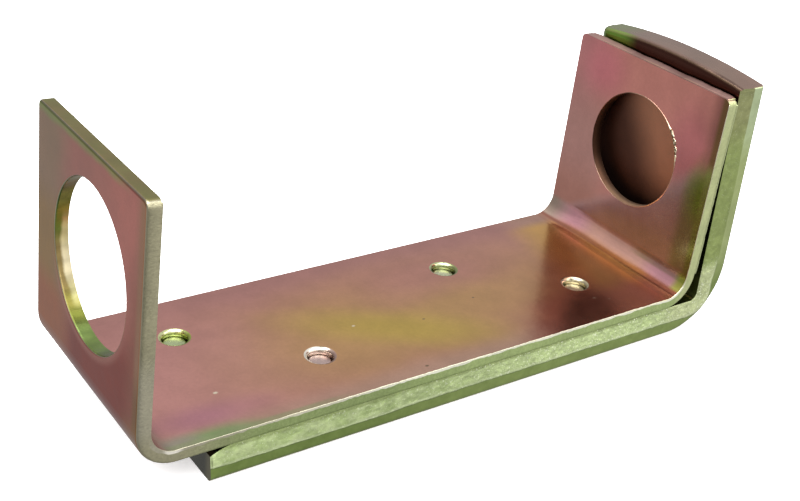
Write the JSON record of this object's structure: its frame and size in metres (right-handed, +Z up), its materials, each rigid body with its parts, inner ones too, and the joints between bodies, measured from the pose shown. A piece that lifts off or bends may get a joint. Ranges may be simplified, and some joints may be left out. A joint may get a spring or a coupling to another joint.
{
  "type": "stamped metal bracket",
  "caption": "Plated steel U-shaped bracket with a large through hole in one flange and a smaller hole in the other, backed by a thick L-shaped plate joined under it.",
  "frame": {"origin": "bottom centre of the bracket's box, in the plane of the backing plate's underside", "axes": "+X along the bracket towards the backed flange, +Y across its width away from the front edge, +Z up along the flanges"},
  "size_m": [0.125, 0.04, 0.0517],
  "materials": {
    "plated_sheet": "yellow zinc chromate plating, iridescent",
    "plated_plate": "yellow zinc chromate plating, greener on the sheared edges"
  },
  "bodies": {
    "root": {"u_bracket": "plated_sheet", "backing_plate": "plated_plate"}
  },
  "joints": []
}
